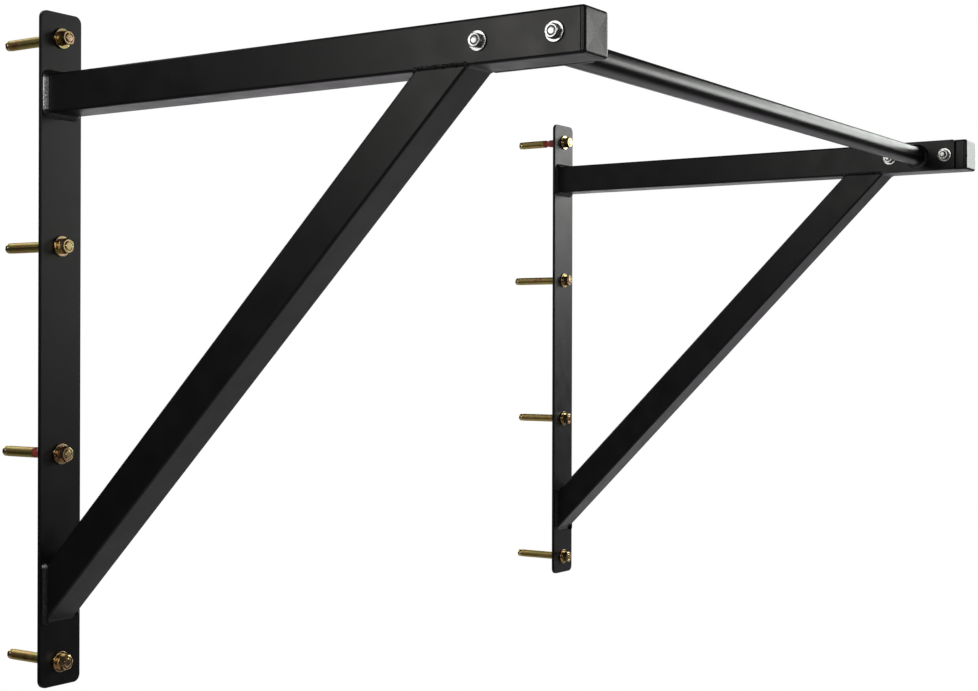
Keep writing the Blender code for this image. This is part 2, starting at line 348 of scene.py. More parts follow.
def loft(shape, rings, ends):
    """Quads through rings of equal length. ends: "fill", "join" last to first, or "open"."""
    made = [add_ring(shape, ring) for ring in rings]
    for first, second in zip(made, made[1:]):
        bridge(shape, first, second)
    if ends == "join":
        bridge(shape, made[-1], made[0])
    if ends == "fill":
        shape.faces.new(made[0])
        shape.faces.new(made[-1])
    return made


def lifted(outline, height, place):
    return [place @ Vector((point.x, point.y, height)) for point in outline]


def turned(shape, profile, steps, place, ends):
    """A profile of (radius, height) points turned about the place's Z axis."""
    loft(shape, [lifted(circle(radius, steps), height, place) for radius, height in profile], ends)


def ring_section(outer, inner, low, high, edge, steps=3):
    """The rounded section of a washer, sleeve or tube, for turned() with joined ends."""
    corners = [Vector(c) for c in ((outer, low), (outer, high), (inner, high), (inner, low))]
    return [tuple(point) for point in filleted(corners, edge, steps)]


def pierced_slab(shape, outline_at, holes, thickness, edge, place, hole_steps=48):
    """A plate of that thickness with rounded rims. outline_at(inset) gives its outline, holes are
    (centre, radius) pairs, and place puts its lower face on Z = 0."""
    steps = 4
    inset = [edge * (1 - math.sin(math.pi / 2 * step / steps)) for step in range(steps + 1)]
    depth = [edge * (1 - math.cos(math.pi / 2 * step / steps)) for step in range(steps + 1)]
    heights = depth + [thickness - value for value in reversed(depth)]
    insets = inset + list(reversed(inset))
    rims = [[], []]
    for boundary in [None] + list(holes):
        rings = []
        for back, height in zip(insets, heights):
            if boundary is None:
                outline = outline_at(back)
            else:
                outline = circle(boundary[1] + back, hole_steps, boundary[0])
            rings.append(lifted(outline, height, place))
        made = loft(shape, rings, "open")
        rims[0].append(made[0])
        rims[1].append(made[-1])
    for loops in rims:
        edges = []
        for loop in loops:
            for first, second in zip(loop, loop[1:] + loop[:1]):
                edges.append(shape.edges.get((first, second)))
        bmesh.ops.triangle_fill(shape, use_beauty=True, edges=edges)


def finish_piece(name, shape, material, nodes=(), sharp=38.0):
    """The finished piece: it rides on the root body and stands for the given CAD nodes."""
    bmesh.ops.recalc_face_normals(shape, faces=shape.faces)
    mesh = bpy.data.meshes.new(name)
    shape.to_mesh(mesh)
    shape.free()
    mesh.materials.append(material)
    mesh.shade_smooth()
    mesh.set_sharp_from_angle(angle=math.radians(sharp))
    piece = bpy.data.objects.new(name, mesh)
    PIECES.objects.link(piece)
    normals = piece.modifiers.new("face_weighted_normals", "WEIGHTED_NORMAL")
    normals.keep_sharp = True
    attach(piece, "root")
    if nodes:
        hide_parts(*nodes)
    return piece


def cut(piece, cutters):
    """Cuts closed shapes out of a piece, and bakes the result into its mesh."""
    scratch = []
    for number, shape in enumerate(cutters):
        bmesh.ops.recalc_face_normals(shape, faces=shape.faces)
        mesh = bpy.data.meshes.new(f"cutter_{number}")
        shape.to_mesh(mesh)
        shape.free()
        cutter = bpy.data.objects.new(f"cutter_{number}", mesh)
        STAGE.objects.link(cutter)
        scratch.append(cutter)
        modifier = piece.modifiers.new(f"cut_{number}", "BOOLEAN")
        modifier.operation = "DIFFERENCE"
        modifier.solver = "EXACT"
        modifier.object = cutter
        piece.modifiers.move(len(piece.modifiers) - 1, number)
    normals = piece.modifiers["face_weighted_normals"]
    normals.show_viewport = False
    bpy.context.view_layer.update()
    baked = bpy.data.meshes.new_from_object(piece.evaluated_get(bpy.context.evaluated_depsgraph_get()))
    for modifier in [m for m in piece.modifiers if m.type == "BOOLEAN"]:
        piece.modifiers.remove(modifier)
    normals.show_viewport = True
    baked.name = piece.data.name
    baked.shade_smooth()
    baked.set_sharp_from_angle(angle=math.radians(30.0))
    piece.data = baked
    for cutter in scratch:
        bpy.data.objects.remove(cutter)


# ---------------------------------------------------------------- frames


def bolt_frame(side, place):
    """Its Z axis points outwards along the bolt, from the arm's centre line."""
    arm_x = centre_of(f"{side}_arm").x
    washer = centre_of(f"{side}_{place}_head_washer")
    sign = SIDES[side]
    return Matrix.Translation((arm_x, washer.y, washer.z)) @ Matrix.Rotation(sign * math.pi / 2, 4, "Y")


def anchor_frame(side, number):
    """Its Z axis points out of the wall, from the wall plane."""
    washer = centre_of(f"{side}_anchor_{number}_washer")
    return Matrix.Translation((washer.x, 0, washer.z)) @ Matrix.Rotation(math.pi / 2, 4, "X")


def span(node, place):
    """The node's lowest and highest station along a frame's Z axis."""
    low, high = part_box(node)
    inverse = place.inverted()
    stations = sorted(((inverse @ low).z, (inverse @ high).z))
    return stations[0], stations[1]


# ---------------------------------------------------------------- plates and tubes


def make_wall_plate(side):
    node = f"{side}_wall_plate"
    low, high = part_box(node)
    width, thickness, height = high - low
    centre = (low + high) / 2
    place = Matrix.Translation((centre.x, high.y, centre.z)) @ Matrix.Rotation(math.pi / 2, 4, "X")
    holes = []
    for number in ANCHORS:
        anchor = centre_of(f"{side}_anchor_{number}_stud")
        holes.append(((anchor.x - centre.x, anchor.z - centre.z), PLATE_HOLE / 2))

    def outline(inset):
        return rectangle(width - 2 * inset, height - 2 * inset, PLATE_CORNER - inset, 10)

    shape = bmesh.new()
    pierced_slab(shape, outline, holes, thickness, PLATE_EDGE, place)
    finish_piece(f"{node}_coated", shape, COAT, [node])


def make_flange(side):
    node = f"{side}_bar_flange"
    low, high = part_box(node)
    thickness, length, height = high - low
    centre = (low + high) / 2
    place = Matrix.Translation((low.x, centre.y, centre.z)) @ Matrix.Rotation(math.pi / 2, 4, "Y")
    place = place @ Matrix.Rotation(math.pi / 2, 4, "Z")
    inverse = place.inverted()
    holes = []
    for bolt in PLACES:
        local = inverse @ centre_of(f"{side}_{bolt}_bolt")
        holes.append(((local.x, local.y), BOLT_HOLE / 2))

    def outline(inset):
        return rectangle(length - 2 * inset, height - 2 * inset, FLANGE_CORNER - inset, 6)

    shape = bmesh.new()
    pierced_slab(shape, outline, holes, thickness, PLATE_EDGE, place)
    finish_piece(f"{node}_coated", shape, COAT, [node])


def tube_outline(side_length, radius):
    return rectangle(side_length, side_length, radius, 6)


def make_arm(side):
    node = f"{side}_arm"
    low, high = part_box(node)
    width = high.x - low.x
    place = Matrix.Translation((low + high) / 2) @ Matrix.Rotation(math.pi / 2, 4, "X")
    half = (high.y - low.y) / 2
    shape = bmesh.new()
    outer = tube_outline(width, TUBE_CORNER)
    inner = tube_outline(width - 2 * TUBE_WALL, TUBE_CORNER - TUBE_WALL + 0.0005)
    lip = 0.0004
    eased = tube_outline(width - 2 * lip, TUBE_CORNER - lip)
    rings = [
        lifted(inner, -half, place),
        lifted(eased, -half, place),
        lifted(outer, -half + lip, place),
        lifted(outer, half - lip, place),
        lifted(eased, half, place),
        lifted(inner, half, place),
    ]
    loft(shape, rings, "join")
    arm = finish_piece(f"{node}_coated", shape, COAT, [node])
    cutters = []
    for bolt in PLACES:
        drill = bmesh.new()
        axis = bolt_frame(side, bolt)
        turned(drill, [(BOLT_HOLE / 2, -width), (BOLT_HOLE / 2, width)], 40, axis, "fill")
        cutters.append(drill)
    cut(arm, cutters)


def make_brace(side):
    """Square tube at 45 degrees, mitred against the plate and under the arm."""
    node = f"{side}_brace"
    low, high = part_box(node)
    centre_x = (low.x + high.x) / 2
    width = high.x - low.x
    along = Vector((0, -1, 1)).normalized()
    across = Vector((0, 1, 1)).normalized()
    foot = Vector((centre_x, high.y, low.z + width / math.sqrt(2)))

    def section(outline, at_plate):
        points = []
        for point in outline:
            start = foot + Vector((point.x, 0, 0)) + across * point.y
            if at_plate:
                reach = (high.y - start.y) / along.y
            else:
                reach = (high.z - start.z) / along.z
            points.append(start + along * reach)
        return points

    outer = tube_outline(width, TUBE_CORNER)
    inner = tube_outline(width - 2 * TUBE_WALL, TUBE_CORNER - TUBE_WALL + 0.0005)
    shape = bmesh.new()
    rings = [section(outer, True), section(outer, False), section(inner, False), section(inner, True)]
    loft(shape, rings, "join")
    finish_piece(f"{node}_coated", shape, COAT, [node])


def make_end_cap(side):
    """Moulded cap: a face plate with rounded rims, and a ribbed plug inside the tube."""
    node = f"{side}_arm_end_cap"
    low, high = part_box(node)
    tube_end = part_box(f"{side}_arm")[0].y
    width = high.x - low.x
    centre = (low + high) / 2
    place = Matrix.Translation((centre.x, tube_end, centre.z)) @ Matrix.Rotation(math.pi / 2, 4, "X")
    face = tube_end - low.y
    depth = high.y - tube_end
    plug = width - 2 * TUBE_WALL - 0.0008
    hollow = plug - 0.004

    def at(side_length, radius, height):
        return lifted(rectangle(side_length, side_length, radius, 8), height, place)

    rings = []
    steps = 6
    for step in range(steps + 1):
        angle = math.pi / 2 * step / steps
        back = CAP_RIM * (1 - math.cos(angle))
        rise = CAP_RIM * (1 - math.sin(angle))
        rings.append(at(width - 2 * back, TUBE_CORNER + 0.0002 - back * 0.5, face - rise))
    rings.append(at(width - 2 * CAP_RIM - 0.004, 0.0012, face - 0.00005))
    rings.append(at(width * 0.5, 0.001, face - 0.00018))
    rings.append(at(width * 0.1, 0.0005, face - 0.00022))
    rings.reverse()
    rings += [
        at(width, TUBE_CORNER + 0.0002, 0.0008),
        at(width - 0.0004, TUBE_CORNER, 0.0004),
        at(width - 0.0016, TUBE_CORNER - 0.0006, 0.0003),
        at(plug, 0.0012, 0.0003),
    ]
    for rib in range(3):
        station = -0.003 - rib * 0.005
        rings += [at(plug - 0.0012, 0.0010, station + 0.0012), at(plug, 0.0012, station)]
    rings += [
        at(plug - 0.0012, 0.0010, -depth + 0.001),
        at(plug - 0.0020, 0.0010, -depth),
        at(hollow, 0.0008, -depth),
        at(hollow, 0.0008, -0.001),
    ]
    shape = bmesh.new()
    loft(shape, rings, "fill")
    finish_piece(f"{node}_moulded", shape, CAP_PLASTIC, [node], 30.0)


def make_bar():
    node = "pull_bar"
    low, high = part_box(node)
    centre = (low + high) / 2
    radius = (high.z - low.z) / 2
    half = (high.x - low.x) / 2
    place = Matrix.Translation(centre) @ Matrix.Rotation(math.pi / 2, 4, "Y")
    shape = bmesh.new()
    section = ring_section(radius, radius - BAR_WALL, -half, half, 0.0004)
    turned(shape, section, 128, place, "join")
    finish_piece(f"{node}_coated", shape, BAR_COAT, [node])


# ---------------------------------------------------------------- bolts, nuts and washers


def hex_body(outline, low, high, face_radius, low_chamfer, high_chamfer):
    """Rings of (point, height) pairs from the low face to the high face, with chamfered corners,
    and a function that makes such a ring of one radius."""
    slope = math.tan(math.radians(28))
    drops = [max(0.0, point.length - face_radius) * slope for point in outline]

    def face(radius, height):
        return [(point.normalized() * radius, height) for point in outline]

    rings = []
    if low_chamfer:
        rings.append(face(face_radius, low))
    rings.append([(point, low + (drop if low_chamfer else 0)) for point, drop in zip(outline, drops)])
    rings.append([(point, high - (drop if high_chamfer else 0)) for point, drop in zip(outline, drops)])
    if high_chamfer:
        rings.append(face(face_radius, high))
    return rings, face


def placed(rings, place):
    return [[place @ Vector((p.x, p.y, height)) for p, height in ring] for ring in rings]


def thread_rings(outline, radius, pitch, low, high, depth):
    """Rings of a screw thread from low to high, on the outline's own directions."""
    per_pitch = 6
    count = max(2, round((high - low) / pitch * per_pitch))
    rings = []
    for step in range(count + 1):
        height = low + (high - low) * step / count
        ring = []
        for point in outline:
            direction = point.normalized()
            phase = (height / pitch - math.atan2(direction.y, direction.x) / (2 * math.pi)) % 1.0
            crest = min(1.0, max(0.0, 2.6 * abs(phase - 0.5) * 2 - 0.8))
            ring.append((direction * (radius - depth * (1 - crest)), height))
        rings.append(ring)
    return rings


def make_bolt(side, place_name):
    node = f"{side}_{place_name}_bolt"
    place = bolt_frame(side, place_name)
    end, top = span(node, place)
    head = span(f"{side}_{place_name}_head_washer", place)[1] + 0.0003
    turn = random.uniform(0, math.pi / 3)
    outline = hexagon(BOLT_ACROSS_FLATS, turn)
    rings, face = hex_body(outline, head, top, BOLT_ACROSS_FLATS * 0.47, False, True)
    rings += [
        face(BOLT_ACROSS_FLATS * 0.40, top - 0.00002),
        face(BOLT_ACROSS_FLATS * 0.355, top - 0.00012),
        face(BOLT_ACROSS_FLATS * 0.300, top - 0.00085),
        face(BOLT_ACROSS_FLATS * 0.255, top - 0.00110),
        face(BOLT_ACROSS_FLATS * 0.100, top - 0.00120),
    ]
    rings.reverse()
    shank = BOLT_DIAMETER / 2 - 0.0001
    thread_start = end + BOLT_THREAD
    rings += [face(shank + 0.0006, head), face(shank, head - 0.0005), face(shank, thread_start)]
    threads = thread_rings(outline, shank, BOLT_PITCH, end + 0.0009, thread_start - 0.0005, 0.00055)
    rings += list(reversed(threads))
    rings += [face(shank - 0.0007, end + 0.0003), face(shank - 0.0011, end), face(0.0006, end)]
    shape = bmesh.new()
    loft(shape, placed(rings, place), "fill")
    finish_piece(f"{node}_plated", shape, BRIGHT_ZINC, [node], 28.0)


def make_nut(node, place, across_flats, bore, material, turn):
    """A hexagon nut, chamfered on both faces, with a countersunk bore."""
    low, high = span(node, place)
    outline = hexagon(across_flats, turn)
    rings, face = hex_body(outline, low, high, across_flats * 0.465, True, True)
    sink = 0.0007
    rings += [
        face(bore / 2 + sink + 0.0001, high),
        face(bore / 2 + sink, high - 0.0001),
        face(bore / 2, high - sink),
        face(bore / 2, low + sink),
        face(bore / 2 + sink, low + 0.0001),
        face(bore / 2 + sink + 0.0001, low),
    ]
    shape = bmesh.new()
    loft(shape, placed(rings, place), "join")
    finish_piece(f"{node}_plated", shape, material, [node], 24.0)


def make_washer(node, place, material, bore):
    low, high = span(node, place)
    box_low, box_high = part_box(node)
    outer = (box_high.z - box_low.z) / 2
    shape = bmesh.new()
    turned(shape, ring_section(outer, bore / 2, low, high, 0.0005), 72, place, "join")
    finish_piece(f"{node}_plated", shape, material, [node], 50.0)


def make_bolt_set(side, place_name):
    place = bolt_frame(side, place_name)
    name = f"{side}_{place_name}"
    bore = BOLT_DIAMETER + 0.0005
    make_bolt(side, place_name)
    for washer in ("head_washer", "nut_washer"):
        make_washer(f"{name}_{washer}", place, BRIGHT_ZINC, bore)
    turn = random.uniform(0, math.pi / 3)
    make_nut(f"{name}_nut", place, BOLT_ACROSS_FLATS, bore, BRIGHT_ZINC, turn)


# ---------------------------------------------------------------- wall anchors


def make_anchor_stud(side, number, place):
    """Threaded stud with a bevelled tip and the expansion cone at its back end."""
    node = f"{side}_anchor_{number}_stud"
    low, high = span(node, place)
    box_low, box_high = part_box(node)
    cone = (box_high.z - box_low.z) / 2
    cone_start = span(f"{side}_anchor_{number}_sleeve", place)[0]
    radius = STUD_DIAMETER / 2
    shaft = radius - 0.0002
    outline = circle(radius, 64)

    def face(value, height):
        return [(point.normalized() * value, height) for point in outline]

    rings = [
        face(0.0005, high - 0.00005),
        face(radius - 0.0012, high),
        face(radius - 0.0009, high - 0.00008),
    ]
    threads = thread_rings(outline, radius - 0.0001, STUD_PITCH, high - STUD_THREAD, high - 0.0006, 0.0007)
    rings += list(reversed(threads))
    rings += [
        face(shaft, high - STUD_THREAD - 0.0005),
        face(shaft, cone_start + 0.004),
        face(cone - 0.0009, cone_start + 0.0004),
        face(cone - 0.0002, cone_start - 0.0012),
        face(cone, cone_start - 0.0022),
        face(cone, low + 0.0016),
        face(cone - 0.0003, low + 0.0008),
        face(cone - 0.0009, low + 0.0002),
        face(cone - 0.0015, low),
        face(0.0005, low),
    ]
    shape = bmesh.new()
    loft(shape, placed(rings, place), "fill")
    finish_piece(f"{node}_plated", shape, YELLOW_ZINC, [node], 28.0)


def make_anchor_sleeve(side, number, place):
    """Expansion sleeve with its lengthwise seam and two short slits at the cone."""
    node = f"{side}_anchor_{number}_sleeve"
    low, high = span(node, place)
    box_low, box_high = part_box(node)
    outer = (box_high.z - box_low.z) / 2
    top = high
    if (side, number) in COLLAR_LENGTHS:
        top = -COLLAR_LENGTHS[side, number] - 0.0004
    bore = STUD_DIAMETER / 2 + 0.0002
    section = ring_section(outer, bore, low, top, 0.0003, 2)
    shape = bmesh.new()
    turned(shape, section, 64, place, "join")
    sleeve = finish_piece(f"{node}_rolled", shape, SLEEVE_ZINC, [node], 35.0)
    cutters = []
    seam_angle = SEAM_TURN + random.uniform(-0.15, 0.15)
    for angle, length in ((0.0, 1.0), (2.1, 0.42), (4.2, 0.42)):
        slit = bmesh.new()
        reach = (top - low) * length + 0.004
        corners = ((0.002, -SLIT / 2), (0.009, -SLIT / 2), (0.009, SLIT / 2), (0.002, SLIT / 2))
        outline = [Vector(corner) for corner in corners]
        spin = place @ Matrix.Rotation(seam_angle + angle, 4, "Z")
        loft(slit, [lifted(outline, low - 0.002, spin), lifted(outline, low - 0.002 + reach, spin)], "fill")
        cutters.append(slit)
    cut(sleeve, cutters)


def make_anchor_collar(side, number, place):
    """Plastic collar between the sleeve and the washer, with a narrow crush waist."""
    name = f"{side}_anchor_{number}_collar"
    high = span(f"{side}_anchor_{number}_sleeve", place)[1]
    box_low, box_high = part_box(f"{side}_anchor_{number}_sleeve")
    outer = (box_high.z - box_low.z) / 2
    bore = STUD_DIAMETER / 2 + 0.0001
    back = -COLLAR_LENGTHS[side, number]
    edge = 0.0003
    profile = [(bore, high), (outer - edge, high), (outer, high - edge)]
    profile += [(outer - depth, back + station) for station, depth in COLLAR_WAIST]
    profile += [(outer, back + edge), (outer - edge, back), (bore, back)]
    shape = bmesh.new()
    turned(shape, profile, 64, place, "join")
    finish_piece(f"{name}_moulded", shape, COLLAR_PLASTIC, (), 35.0)


def make_spring_washer(side, number, place):
    """Split ring of square wire, nearly flattened between the washer and the nut."""
    low = span(f"{side}_anchor_{number}_washer", place)[1] + 0.00005
    high = span(f"{side}_anchor_{number}_nut", place)[0] - 0.00005
    rise = 0.00035
    thickness = high - low - rise
    steps = 72
    gap = 0.16
    start = random.uniform(0, 2 * math.pi)
    section = filleted(
        [
            Vector((SPRING_INNER, 0.0)),
            Vector((SPRING_OUTER, 0.0)),
            Vector((SPRING_OUTER, thickness)),
            Vector((SPRING_INNER, thickness)),
        ],
        0.0003, 2,
    )
    rings = []
    for step in range(steps + 1):
        share = step / steps
        angle = start + gap / 2 + (2 * math.pi - gap) * share
        base = low + rise * share
        rings.append([
            place @ Vector((p.x * math.cos(angle), p.x * math.sin(angle), base + p.y)) for p in section
        ])
    shape = bmesh.new()
    loft(shape, rings, "fill")
    finish_piece(f"{side}_anchor_{number}_spring_washer_plated", shape, YELLOW_ZINC)


def make_anchor(side, number):
    place = anchor_frame(side, number)
    node = f"{side}_anchor_{number}"
    make_anchor_stud(side, number, place)
    make_anchor_sleeve(side, number, place)
    if (side, number) in COLLAR_LENGTHS:
        make_anchor_collar(side, number, place)
    make_washer(f"{node}_washer", place, YELLOW_ZINC, STUD_DIAMETER + 0.0006)
    make_spring_washer(side, number, place)
    turn = random.uniform(0, math.pi / 3)
    bore = STUD_DIAMETER + 0.0004
    make_nut(f"{node}_nut", place, ANCHOR_ACROSS_FLATS, bore, YELLOW_ZINC, turn)


# ---------------------------------------------------------------- weld beads


def resampled(points, spacing, closed):
    """Evenly spaced points along a polyline."""
    line = points + points[:1] if closed else points
    lengths = [(b - a).length for a, b in zip(line, line[1:])]
    total = sum(lengths)
    count = max(2, round(total / spacing))
    result = []
    for step in range(count if closed else count + 1):
        target = total * step / count
        for a, b, length in zip(line, line[1:], lengths):
            if target <= length + 1e-9 or b is line[-1]:
                result.append(a.lerp(b, min(1.0, target / length)))
                break
            target -= length
    return result


def fillet_section(leg, bulge):
    """Section of a fillet bead over the two directions away from the corner, then its sunk root."""
    steps = 8
    section = []
    for step in range(steps + 1):
        angle = math.pi / 2 * step / steps
        straight = 1 / (math.cos(angle) + math.sin(angle))
        reach = leg * (straight * (1 - bulge) + bulge)
        section.append((reach * math.cos(angle), reach * math.sin(angle), math.sin(2 * angle)))
    first = section[0]
    last = section[-1]
    return [(first[0], -SINK, 0.3)] + section + [(-SINK, last[1], 0.3), (-SINK, -SINK, 0.0)]


def flat_section(half_width, height):
    """Section of a bead laid over a flush joint."""
    steps = 8
    section = []
    for step in range(steps + 1):
        angle = math.pi * step / steps
        rise = math.sin(angle)
        section.append((half_width * math.cos(angle), height * rise, rise))
    return section + [(-half_width, -SINK, 0.0), (half_width, -SINK, 0.0)]


def make_bead(name, path, first, second, section, closed, ripple, seed, material):
    """A rippled bead. first and second give the section's two directions at a path point."""
    chance = random.Random(seed)
    pitch = 0.0023
    points = resampled(path, pitch / 6, closed)
    count = len(points)
    humps = max(1, round(count / 6)) if closed else count / 6
    sizes = [chance.uniform(-1, 1) for _ in range(int(humps) + 3)]
    rings = []
    for index, point in enumerate(points):
        station = index / count * humps
        along = first(point), second(point)
        taper = 1.0
        if not closed:
            run = min(index, count - 1 - index) / 8
            taper = 0.45 + 0.55 * math.sin(min(1.0, run) * math.pi / 2)
        ring = []
        for a, b, weight in section:
            phase = station - 0.45 * weight
            base = math.floor(phase)
            share = phase - base
            size = sizes[base % len(sizes)] * (1 - share) + sizes[(base + 1) % len(sizes)] * share
            wave = 1 - (2 * share - 1) ** 2
            scale = 1 + weight * ripple * (wave - 0.6 + 0.45 * size)
            scale *= taper
            ring.append(point + along[0] * (a * scale) + along[1] * (b * scale))
        rings.append(ring)
    shape = bmesh.new()
    loft(shape, rings, "join" if closed else "fill")
    finish_piece(name, shape, material, (), 60.0)


def make_welds(side):
    sign = SIDES[side]
    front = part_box(f"{side}_wall_plate")[0].y
    arm_low, arm_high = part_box(f"{side}_arm")
    brace_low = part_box(f"{side}_brace")[0]
    bar_low, bar_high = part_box("pull_bar")
    flange_low, flange_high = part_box(f"{side}_bar_flange")
    centre_x = (arm_low.x + arm_high.x) / 2
    arm_z = (arm_low.z + arm_high.z) / 2
    width = arm_high.x - arm_low.x
    out = Vector((0, -1, 0))
    up = Vector((0, 0, 1))

    # All round the arm's end on the wall plate
    arm_ring = [
        Vector((centre_x + p.x, front, arm_z + p.y)) for p in tube_outline(width - 0.0002, TUBE_CORNER)
    ]

    def from_arm(point):
        local = Vector((point.x - centre_x, 0, point.z - arm_z))
        core = width / 2 - TUBE_CORNER
        inner = Vector((max(-core, min(core, local.x)), 0, max(-core, min(core, local.z))))
        return (local - inner).normalized()

    # The outer side of this bead carries a painted highlight
    make_bead(
        f"{side}_weld_arm_to_plate", arm_ring, from_arm, lambda point: out,
        fillet_section(ARM_BEAD, 0.35), True, 0.16, 3 + sign, ARM_WELD_PAINTED_HIGHLIGHT,
    )

    # Both sides of the brace's foot on the wall plate, and across its two ends
    foot_top = brace_foot_top(side)
    for number, face in enumerate((-1, 1)):
        x = centre_x + face * width / 2
        away = Vector((face, 0, 0))
        run_out = OUTER_RUN_OUT if face * sign > 0 else INNER_RUN_OUT
        path = [Vector((x, front, brace_low.z - run_out)), Vector((x, front, foot_top + TOP_RUN_OUT))]
        # The outer bead carries a painted highlight at its top end
        make_bead(
            f"{side}_weld_brace_to_plate_{'inner' if face * sign < 0 else 'outer'}", path,
            lambda point, away=away: away, lambda point: out, fillet_section(BRACE_BEAD, 0.3),
            False, 0.10, 11 + sign + number, BRACE_WELD_PAINTED_HIGHLIGHT,
        )
    uphill = Vector((0, -1, 1)).normalized()
    for end, z, across in (("below", brace_low.z, -up), ("above", foot_top, up)):
        path = [Vector((centre_x + reach, front, z)) for reach in (0.003 - width / 2, width / 2 - 0.003)]
        make_bead(
            f"{side}_weld_brace_to_plate_{end}", path, lambda point, across=across: across,
            lambda point: uphill, fillet_section(FOOT_BEAD, 0.1), False, 0.08, 21 + sign, COAT,
        )

    # Where the brace meets the arm: flush on both sides, and in the corners at its two ends
    joint_z = arm_low.z
    tip = brace_low.y
    heel = tip + width * math.sqrt(2)
    chance = random.Random(60 + sign)
    for number, face in enumerate((-1, 1)):
        name = f"{side}_weld_brace_to_arm_{'inner' if face * sign < 0 else 'outer'}"
        x = centre_x + face * (width / 2 - 0.0008)
        proud = Vector((face, 0, 0))

        def along_joint(start, end, height, waver, x=x):
            steps = max(1, round(abs(end - start) / 0.004))
            stations = [start + (end - start) * step / steps for step in range(steps + 1)]
            return [Vector((x, y, joint_z + height + chance.uniform(-waver, waver))) for y in stations]

        # The seam strip is a painted shade line along the joint, under the bead
        shade_seam_path = along_joint(tip, heel, 0.0003, 0.0008)
        bead_path = along_joint(tip, heel, 0.0027, 0.0005)
        front_path = along_joint(tip, tip + DAB_LENGTH, 0.0020, 0)
        rear_path = along_joint(heel - DAB_LENGTH, heel, 0.0020, 0)
        dab = flat_section(0.0030, 0.0027)
        pieces = (
            ("seam", shade_seam_path, flat_section(0.0010, 0.0011), 0.25, PAINTED_SHADE_SEAM_COAT),
            ("bead", bead_path, flat_section(0.0014, 0.0018), 0.85, WELD_COAT),
            ("front_dab", front_path, dab, 0.3, WELD_COAT),
            ("rear_dab", rear_path, dab, 0.3, WELD_COAT),
        )
        for part, path, section, ripple, material in pieces:
            make_bead(
                f"{name}_{part}", path, lambda point: up, lambda point, proud=proud: proud, section,
                False, ripple, 31 + sign + number, material,
            )
    downhill = -uphill
    for end, y, across, leg, material in (
        ("front", tip, out, FRONT_JOINT_BEAD, COAT), ("rear", heel, -out, REAR_JOINT_BEAD, WELD_COAT),
    ):
        path = [Vector((centre_x + reach, y, joint_z)) for reach in (0.001 - width / 2, width / 2 - 0.001)]
        make_bead(
            f"{side}_weld_brace_to_arm_{end}", path, lambda point, across=across: across,
            lambda point: downhill, fillet_section(leg, 0.25), False, 0.10, 41 + sign, material,
        )

    # Round the bar on its flange
    radius = (bar_high.z - bar_low.z) / 2
    centre = (bar_low + bar_high) / 2
    flange_x = flange_high.x if sign < 0 else flange_low.x
    bar_ring = [
        Vector((flange_x, centre.y + p.x, centre.z + p.y)) for p in circle(radius, 96)
    ]

    def from_bar(point):
        return Vector((0, point.y - centre.y, point.z - centre.z)).normalized()

    make_bead(
        f"{side}_weld_bar_to_flange", bar_ring, from_bar, lambda point: Vector((-sign, 0, 0)),
        fillet_section(BAR_BEAD, 0.3), True, 0.10, 51 + sign, WELD_COAT,
    )


# ---------------------------------------------------------------- sizes that no CAD box gives

PLATE_HOLE = 0.0132
PLATE_CORNER = 0.009
PLATE_EDGE = 0.0006
FLANGE_CORNER = 0.003
TUBE_CORNER = 0.003
TUBE_WALL = 0.0025
BAR_WALL = 0.0025
CAP_RIM = 0.0032
BOLT_HOLE = 0.009
BOLT_DIAMETER = 0.008
BOLT_PITCH = 0.00125
BOLT_THREAD = 0.014
BOLT_ACROSS_FLATS = 0.013
STUD_DIAMETER = 0.010
STUD_PITCH = 0.0015
STUD_THREAD = 0.004
COLLAR_LENGTHS = {("left", 2): 0.038, ("right", 4): 0.034}  # behind the wall plane
COLLAR_WAIST = (  # station in front of the collar's back end, and depth
    (0.0110, 0.0), (0.0104, 0.0004), (0.0090, 0.0011), (0.0070, 0.0012),
    (0.0050, 0.0011), (0.0036, 0.0004), (0.0030, 0.0),
)
ANCHOR_ACROSS_FLATS = 0.016
SPRING_INNER = 0.0053
SPRING_OUTER = 0.0090
SLIT = 0.0012
SEAM_TURN = math.pi + 0.25  # the seam faces -X, and a little downwards
ARM_BEAD = 0.0055  # legs of the fillet beads, here and below
BRACE_BEAD = 0.0052
OUTER_RUN_OUT = 0.005  # how far the brace's beads on the wall plate run on past its foot
INNER_RUN_OUT = -0.001
TOP_RUN_OUT = 0.0025
FOOT_BEAD = 0.0022
DAB_LENGTH = 0.004
FRONT_JOINT_BEAD = 0.0026
REAR_JOINT_BEAD = 0.0035
BAR_BEAD = 0.0042

random.seed(7)
for side in SIDES:
    make_wall_plate(side)
    make_arm(side)
    make_brace(side)
    make_end_cap(side)
    make_flange(side)
    for place_name in PLACES:
        make_bolt_set(side, place_name)
    for number in ANCHORS:
        make_anchor(side, number)
    make_welds(side)
make_bar()


# ---------------------------------------------------------------- stage, light and camera

MIDDLE = (0.0, -0.35, 0.55)  # what most of the lights face
WHITE = (1.0, 1.0, 1.0)
PALE_VIOLET = (1.0, 0.95, 1.0)
PALE_AMBER = (1.0, 0.985, 0.95)
PALE_GREEN = (0.97, 1.0, 0.96)


